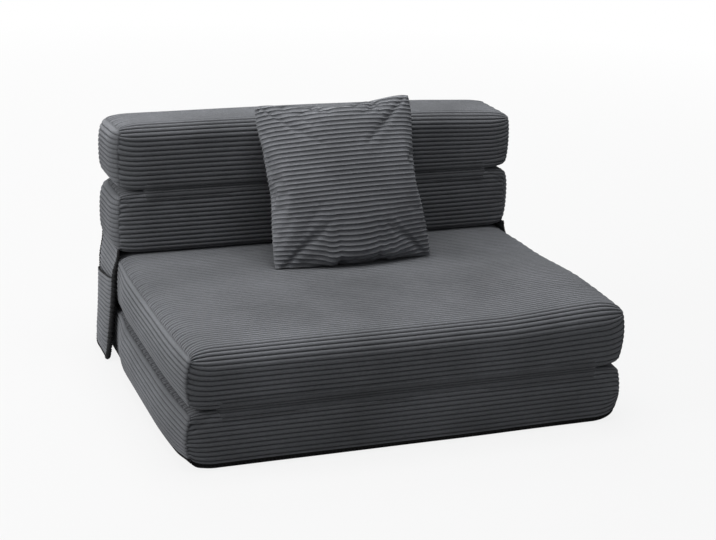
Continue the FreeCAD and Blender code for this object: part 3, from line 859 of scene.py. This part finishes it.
def pillow():
    """The loose pillow: blown-up cloth, then read at a finer grid that follows its ribs."""
    points, quads, rear_number, _ = join_sheets(*pillow_sheets())
    shape = inflate(points, quads)
    shape -= (shape.max(0) + shape.min(0)) / 2
    shape[:, 2] *= PILLOW_THICK / np.ptp(shape[:, 2])
    low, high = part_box("pillow_front")
    middle = np.array([(low[0] + high[0]) / 2 + PILLOW_SHIFT, PILLOW_Y, PILLOW_Z])
    count = PILLOW_CELLS + 1
    rows, height = sheet_rows(0, PILLOW_CUT)
    rows = rows[:, 0] / PILLOW_CUT
    columns = np.linspace(0, 1, PILLOW_COLUMNS)
    read_rows, read_columns = cubic_weights(rows, count), cubic_weights(columns, count)
    edge = np.minimum(np.minimum(rows, 1 - rows)[:, None], np.minimum(columns, 1 - columns)[None, :])
    ribs = PILLOW_RIB * (1 - height) * smooth_step(0, 0.02, edge)
    placed = []
    for number, outward in ((np.arange(count * count), 1), (rear_number, -1)):
        coarse = shape[number].reshape(count, count, 3)
        fine = np.einsum("ri,ijk,cj->rck", read_rows, coarse, read_columns)
        # Its lower edge sinks towards the seat that it stands on
        arch = fine[0, :, 1] - np.interp(columns, [0, 1], fine[0, [0, -1], 1])
        fine[..., 1] -= PILLOW_SINK * arch * (1 - smooth_step(0.0, 0.45, rows))[:, None]
        normal = grid_normals(fine)
        normal *= outward * np.sign(normal[..., 2].mean())
        placed.append(lean_pillow(fine - normal * ribs[..., None], middle, PILLOW_ROOM))
    points, fine_quads, _, inside = join_sheets(*placed)
    marks = np.broadcast_to(height, edge.shape).ravel()
    marks = np.concatenate([marks, marks[inside]])
    piece = make_piece("pillow_cover", points, fine_quads, marks={"rib": marks})
    stuffed = lean_pillow(shape * STUFFING_SHARE, middle, STUFFING_ROOM)
    return piece, make_piece("pillow_stuffing", stuffed, quads)


# Zips: the pace of the teeth, half a tooth's width, half the gap between the two rows, and a tooth's rings:
# the points of each, their places along the tooth and their shares of its size
TOOTH_STEP = 0.0016
TOOTH_HALF = 0.00062
TOOTH_HALF_GAP = 0.00045
TOOTH_SIDES = 8
TOOTH_PLACES = np.array([0.0, 0.25, 0.8, 1.0])
TOOTH_SHARES = np.array([0.55, 1.0, 0.92, 0.5])


def zip_teeth(block):
    """The two rows of a zip's coil, as rounded turns."""
    low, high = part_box(f"{block}_zip_coil")
    middle_y, middle_z = (low[1] + high[1]) / 2, (low[2] + high[2]) / 2
    half_y = (high[1] - low[1]) / 2
    width = (high[2] - low[2]) / 2 - TOOTH_HALF_GAP
    places = np.arange(low[0] + TOOTH_STEP, high[0] - TOOTH_STEP, TOOTH_STEP)
    turn = np.linspace(0, 2 * math.pi, TOOTH_SIDES, endpoint=False)
    rings = len(TOOTH_PLACES)
    tooth_faces = grid_faces(TOOTH_SIDES, rings, round_rows=True)
    size = TOOTH_SIDES * rings
    ring_x = TOOTH_HALF * np.cos(turn)[:, None] * TOOTH_SHARES
    ring_y = half_y * np.sin(turn)[:, None] * TOOTH_SHARES
    points, quads, ends = [], [], []
    for row, up in enumerate((1, -1)):
        shift = row * TOOTH_STEP / 2
        ring_z = np.broadcast_to(up * (TOOTH_HALF_GAP + width * TOOTH_PLACES), ring_x.shape)
        tooth = np.stack([ring_x, ring_y + middle_y, ring_z + middle_z], -1).reshape(-1, 3)
        for place in places:
            start = len(points) * size
            points.append(tooth + np.array([place + shift, 0, 0]))
            quads.append(tooth_faces + start)
            first = start + np.arange(TOOTH_SIDES) * rings
            ends += [first, first + rings - 1]
    return make_piece(f"{block}_zip_teeth", np.vstack(points), np.vstack(quads), ends)


# Materials
def fill_inputs(tree, node, inputs):
    """Join a node's inputs to other nodes' outputs, or set them to plain values."""
    for key, value in inputs.items():
        if isinstance(value, bpy.types.NodeSocket):
            tree.links.new(value, node.inputs[key])
        else:
            node.inputs[key].default_value = value


def add_node(tree, kind, inputs=None, **settings):
    node = tree.nodes.new("ShaderNode" + kind)
    for name, value in settings.items():
        setattr(node, name, value)
    fill_inputs(tree, node, inputs or {})
    return node


def new_material(name):
    material = bpy.data.materials.new(name)
    material.use_nodes = True
    return material, material.node_tree


def paint(tree, inputs):
    """Fill the inputs of a material's surface."""
    fill_inputs(tree, tree.nodes["Principled BSDF"], inputs)


def shade(color, share):
    return tuple(share * part for part in color)


def ramp(tree, factor, stops):
    """A color that changes with a factor from stop to stop."""
    node = add_node(tree, "ValToRGB", {"Fac": factor})
    first, last = node.color_ramp.elements[0], node.color_ramp.elements[1]
    for element, (place, color) in zip((first, last), (stops[0], stops[-1])):
        element.position = place
        element.color = (*color, 1)
    for place, color in stops[1:-1]:
        element = node.color_ramp.elements.new(place)
        element.color = (*color, 1)
    return node.outputs["Color"]


def mix_colors(tree, kind, factor, first, second):
    inputs = {0: factor, 6: first, 7: second}
    return add_node(tree, "Mix", inputs, data_type="RGBA", blend_type=kind).outputs[2]


def bump(tree, height, strength, distance):
    inputs = {"Strength": strength, "Distance": distance, "Height": height}
    return add_node(tree, "Bump", inputs).outputs["Normal"]


def stretched_place(tree, scale=(1, 1, 1)):
    place = add_node(tree, "TexCoord").outputs["Object"]
    return add_node(tree, "Mapping", {"Scale": scale, "Vector": place}).outputs["Vector"]


def noise(tree, place, scale, detail, rough):
    inputs = {"Vector": place, "Scale": scale, "Detail": detail, "Roughness": rough}
    return add_node(tree, "TexNoise", inputs).outputs["Fac"]


def corduroy(name, tone, along_ribs):
    """Wide-ribbed cut pile: painted shade makes it dark between the ribs, brushed lighter and darker in
    patches, slightly fuzzy.
    """
    material, tree = new_material(name)
    rib = add_node(tree, "Attribute", attribute_name="rib").outputs["Fac"]
    crest = (tone * 0.978, tone * 1.005, tone * 1.07)
    # Painted shade: the lower the rib mark, the darker the cloth, down to 0.3 of the crest's tone in the
    # valleys
    painted_rib_shade = ramp(tree, rib, [(0.0, shade(crest, 0.30)), (0.55, shade(crest, 0.82)), (1.0, crest)])
    patches = noise(tree, stretched_place(tree), 4.5, 3.0, 0.6)
    brushed = ramp(tree, patches, [(0.3, (0.80, 0.80, 0.80)), (0.7, (1.16, 1.16, 1.17))])
    pile = noise(tree, stretched_place(tree, along_ribs), 520, 4.0, 0.7)
    fuzz = ramp(tree, pile, [(0.3, (0.78, 0.78, 0.78)), (0.7, (1.18, 1.18, 1.18))])
    color = mix_colors(tree, "MULTIPLY", 1.0, painted_rib_shade, brushed)
    paint(tree, {
        "Base Color": mix_colors(tree, "MULTIPLY", 0.8, color, fuzz),
        "Roughness": 0.92,
        "Specular IOR Level": 0.18,
        "Sheen Weight": 0.16,
        "Sheen Roughness": 0.45,
        "Sheen Tint": (0.75, 0.78, 0.82, 1),
        "Normal": bump(tree, pile, 0.35, 0.0009),
    })
    return material


def plain_cloth(name, color, scale, strength=0.4, rough=0.9):
    """A close woven cloth or thread, with its weave in the bump."""
    material, tree = new_material(name)
    inputs = {"Vector": stretched_place(tree), "Scale": scale, "Distortion": 1.2, "Detail": 2.0}
    weave = add_node(tree, "TexWave", inputs).outputs["Fac"]
    paint(tree, {
        "Base Color": ramp(tree, weave, [(0.0, shade(color, 0.55)), (1.0, shade(color, 1.35))]),
        "Roughness": rough,
        "Specular IOR Level": 0.25,
        "Normal": bump(tree, weave, strength, 0.0006),
    })
    return material


def dotted_sole(name):
    """Black cloth with raised rubber dots."""
    material, tree = new_material(name)
    inputs = {"Vector": stretched_place(tree), "Scale": 120, "Randomness": 0.0}
    dots = add_node(tree, "TexVoronoi", inputs).outputs["Distance"]
    height = ramp(tree, dots, [(0.22, (1, 1, 1)), (0.32, (0, 0, 0))])
    cloth, rubber = (0.006, 0.006, 0.006, 1), (0.016, 0.016, 0.017, 1)
    paint(tree, {
        "Base Color": mix_colors(tree, "MIX", height, cloth, rubber),
        "Roughness": 0.8,
        "Specular IOR Level": 0.06,
        "Normal": bump(tree, height, 0.6, 0.0008),
    })
    return material


def porous(name, color, scale):
    """Open foam or loose fibre."""
    material, tree = new_material(name)
    inputs = {"Vector": stretched_place(tree), "Scale": scale}
    cells = add_node(tree, "TexVoronoi", inputs).outputs["Distance"]
    paint(tree, {
        "Base Color": ramp(tree, cells, [(0.0, shade(color, 0.7)), (0.5, color)]),
        "Roughness": 0.95,
        "Normal": bump(tree, cells, 0.5, 0.001),
    })
    return material


def lacquered_metal(name, color):
    material, tree = new_material(name)
    wear = noise(tree, stretched_place(tree), 900, 5.0, 0.65)
    paint(tree, {
        "Base Color": ramp(tree, wear, [(0.35, color), (0.75, shade(color, 1.6))]),
        "Metallic": 0.7,
        "Roughness": 0.38,
        "Normal": bump(tree, wear, 0.08, 0.0002),
    })
    return material


# The covers' tone, and how the pile is drawn out along ribs that run left to right or front to rear
TONE = 0.105
RIBS_ACROSS = (0.25, 1.0, 1.0)
RIBS_DEEP = (1.0, 0.25, 1.0)
cloth_sleeve = corduroy("corduroy_sleeve", TONE, RIBS_ACROSS)
cloth_end = corduroy("corduroy_end", TONE * 1.04, RIBS_DEEP)
# The flaps and the pillow are the same corduroy, drawn lighter as painted light for the light that falls on
# them
cloth_flap = corduroy("corduroy_flap", TONE * 1.36, RIBS_DEEP)
cloth_pillow = corduroy("corduroy_pillow", TONE * 1.46, RIBS_ACROSS)
# The hinges are the same corduroy, drawn darker as painted shade in the folds
shaded_hinge_cloth = corduroy("corduroy_hinge_painted_shade", TONE * 0.75, RIBS_ACROSS)
black_thread = plain_cloth("black_thread", (0.012, 0.012, 0.013), 900)
zip_tape = plain_cloth("zip_tape", (0.022, 0.022, 0.024), 700)
zip_coil = plain_cloth("zip_coil", (0.02, 0.02, 0.021), 400, 0.1, 0.45)
zip_metal = lacquered_metal("zip_metal", (0.05, 0.05, 0.054))
sole_cloth = dotted_sole("sole_cloth")
foam_inside = porous("foam_inside", (0.78, 0.72, 0.56), 420)
fibre_inside = porous("fibre_inside", (0.85, 0.85, 0.84), 260)

# How far up the base its black band shows: the black cloth of its underside, and painted shade where the
# cover tucks under
SOLE_AND_SHADE_BAND = 0.0155


def blacken_foot_and_shade(piece, material):
    """The lowest faces of the base's cover are the black cloth of its underside, drawn up the sides as
    painted shade along the lower edge.
    """
    piece.data.materials.append(material)
    places = np.empty(len(piece.data.vertices) * 3)
    piece.data.vertices.foreach_get("co", places)
    x, y, z = places.reshape(-1, 3).T
    heights = z - foot_lift(x, y)
    for face in piece.data.polygons:
        if max(heights[k] for k in face.vertices) < SOLE_AND_SHADE_BAND:
            face.material_index = 1


def repaint(node, material):
    """Give a CAD node that is shown as it is a material of its own."""
    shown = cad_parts[node]
    shown.data.materials.clear()
    shown.data.materials.append(material)


for number, block in enumerate(BLOCKS):
    cover = finish_piece(sleeve(block, number + 1), block, "corduroy", cloth_sleeve, f"{block}_wrap")
    ends = []
    for side, sign in SIDES:
        panel = end_cover(block, side, sign, 2 * number + (3 if sign > 0 else 8))
        finish_piece(panel, block, "corduroy", cloth_end, f"{block}_{side}_end")
        ends.append(panel)
    inside = finish_piece(core(block), block, "foam", foam_inside, f"{block}_foam")
    if block == "base":
        for piece in [cover] + ends:
            blacken_foot_and_shade(piece, sole_cloth)
    if block == "head":
        for piece in [cover, inside] + ends:
            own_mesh(piece)
    finish_piece(zip_teeth(block), block, "zip_coil", zip_coil, f"{block}_zip_coil")

for name, first, second, edge, outward in (
    ("seat_hinge", "base", "seat", "front", -1),
    ("back_hinge", "seat", "back", "rear", 1),
    ("head_hinge", "back", "head", "front", -1),
):
    leaf_low, leaf_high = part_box(f"{second}_{edge}_leaf")
    face_y = leaf_high[1] if outward < 0 else leaf_low[1]
    fold_z = leaf_low[2] - HINGE_GAP
    strip = hinge_strip(name, face_y, outward, fold_z, len(name) + fold_z)
    strip.data.materials.append(shaded_hinge_cloth)
    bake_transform(strip)
    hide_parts(f"{first}_{edge}_leaf", f"{second}_{edge}_leaf")

for side, sign in SIDES:
    cloth, edge_path = flap_cloth(side, sign, 4 + sign)
    cloth.data.materials.append(cloth_flap)
    edging = flap_edging(side, edge_path)
    edging.data.materials.append(black_thread)
    for piece in (cloth, edging):
        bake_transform(piece)
    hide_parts(f"{side}_flap")
    pouch, mouth_path = pocket_pouch(side, sign, 6 + sign)
    finish_piece(pouch, f"{side}_flap", "corduroy", cloth_flap, f"{side}_pocket")
    finish_piece(pocket_hem(side, mouth_path), f"{side}_flap", "corduroy", black_thread)

cushion, stuffing = pillow()
finish_piece(cushion, "pillow", "pillow_cover", cloth_pillow, "pillow_front", "pillow_rear")
finish_piece(stuffing, "pillow", "fibre_fill", fibre_inside, "pillow_fill")

for block in BLOCKS:
    for node, material in (("zip_tape", zip_tape), ("zip_slider", zip_metal), ("zip_pull", zip_metal)):
        repaint(f"{block}_{node}", material)
repaint("base_sole", sole_cloth)


# Camera, light and floor. The camera was fitted to the photo: its focal length in pixels, its place, and its
# yaw, pitch and roll in degrees
PICTURE_WIDTH = 716
FOCAL_PIXELS = 1682.3
SENSOR_WIDTH = 36
CAMERA_PLACE = (-1.3082, -3.4639, 1.5273)
CAMERA_ANGLES = (20.913, 18.820, 2.120)
WHITE = (1, 1, 1, 1)
FLOOR_HALF = 30
FLOOR_GREY = (0.36, 0.36, 0.36, 1)
FLOOR_FADE = {"From Min": 1.0, "From Max": 4.5, "To Min": 0.86, "To Max": 1.0}


def add_camera():
    data = bpy.data.cameras.new("camera")
    data.sensor_width = SENSOR_WIDTH
    data.lens = FOCAL_PIXELS * SENSOR_WIDTH / PICTURE_WIDTH
    camera = add_object("camera", data)
    yaw, pitch, roll = (math.radians(angle) for angle in CAMERA_ANGLES)
    ahead = Vector((math.sin(yaw) * math.cos(pitch), math.cos(yaw) * math.cos(pitch), -math.sin(pitch)))
    level = ahead.cross(Vector((0, 0, 1))).normalized()
    upright = level.cross(ahead)
    right = level * math.cos(roll) + upright * math.sin(roll)
    up = upright * math.cos(roll) - level * math.sin(roll)
    turned = Matrix((right, up, -ahead)).transposed().to_4x4()
    turned.translation = Vector(CAMERA_PLACE)
    camera.matrix_world = turned
    bpy.context.scene.camera = camera


def add_lamp(name, place, target, size, power):
    data = bpy.data.lights.new(name, "AREA")
    data.size = size
    data.energy = power
    lamp = add_object(name, data)
    lamp.location = place
    lamp.rotation_euler = (Vector(target) - Vector(place)).to_track_quat("-Z", "Y").to_euler()


def calculate(tree, operation, *values):
    return add_node(tree, "Math", dict(enumerate(values)), operation=operation).outputs[0]


def seen_directly(tree):
    """1 for what the camera, a reflection or glass sees straight on, and 0 for light that falls on things."""
    path = add_node(tree, "LightPath").outputs
    either = calculate(tree, "MAXIMUM", path["Is Camera Ray"], path["Is Glossy Ray"])
    return calculate(tree, "MAXIMUM", either, path["Is Transmission Ray"])


def add_world():
    """A grey sky gives the light, and a white one is seen."""
    world = bpy.data.worlds.new("studio")
    bpy.context.scene.world = world
    world.use_nodes = True
    tree = world.node_tree
    tree.nodes.clear()
    place = add_node(tree, "TexCoord").outputs["Generated"]
    upward = add_node(tree, "SeparateXYZ", {0: place}).outputs["Z"]
    level = calculate(tree, "MULTIPLY_ADD", upward, 0.5, 0.5)
    sky = ramp(tree, level, [(0.45, (0.05, 0.05, 0.05)), (1.0, (0.48, 0.49, 0.51))])
    light = add_node(tree, "Background", {"Color": sky}).outputs[0]
    white = add_node(tree, "Background", {"Color": WHITE}).outputs[0]
    shown = add_node(tree, "MixShader", {0: seen_directly(tree), 1: light, 2: white}).outputs[0]
    add_node(tree, "OutputWorld", {"Surface": shown})


def add_floor():
    """A matte floor that fades into the white backdrop away from the chair."""
    corners = FLOOR_HALF * np.array([(-1, -1, 0), (1, -1, 0), (1, 1, 0), (-1, 1, 0)], float)
    floor = make_piece("floor", corners, np.array([[0, 1, 2, 3]]))
    material, tree = new_material("floor")
    tree.nodes.clear()
    place = add_node(tree, "NewGeometry").outputs["Position"]
    reach = add_node(tree, "VectorMath", {0: place}, operation="LENGTH").outputs["Value"]
    fade = add_node(tree, "MapRange", {"Value": reach, **FLOOR_FADE}).outputs["Result"]
    share = calculate(tree, "MULTIPLY", seen_directly(tree), fade)
    matte = add_node(tree, "BsdfDiffuse", {"Color": FLOOR_GREY}).outputs[0]
    glow = add_node(tree, "Emission", {"Color": WHITE, "Strength": 1.0}).outputs[0]
    shown = add_node(tree, "MixShader", {0: share, 1: matte, 2: glow}).outputs[0]
    add_node(tree, "OutputMaterial", {"Surface": shown})
    floor.data.materials.append(material)


add_camera()
add_world()
add_floor()
add_lamp("key", (-3.2, 0.1, 1.9), (-0.1, 0.0, 0.2), 1.6, 94)
add_lamp("rear", (0.2, 2.7, 2.6), (0.0, 0.2, 0.4), 2.0, 66)
add_lamp("top", (0.0, 0.0, 3.4), (0.0, -0.1, 0.2), 2.2, 106)
bpy.context.scene.view_settings.view_transform = "Standard"
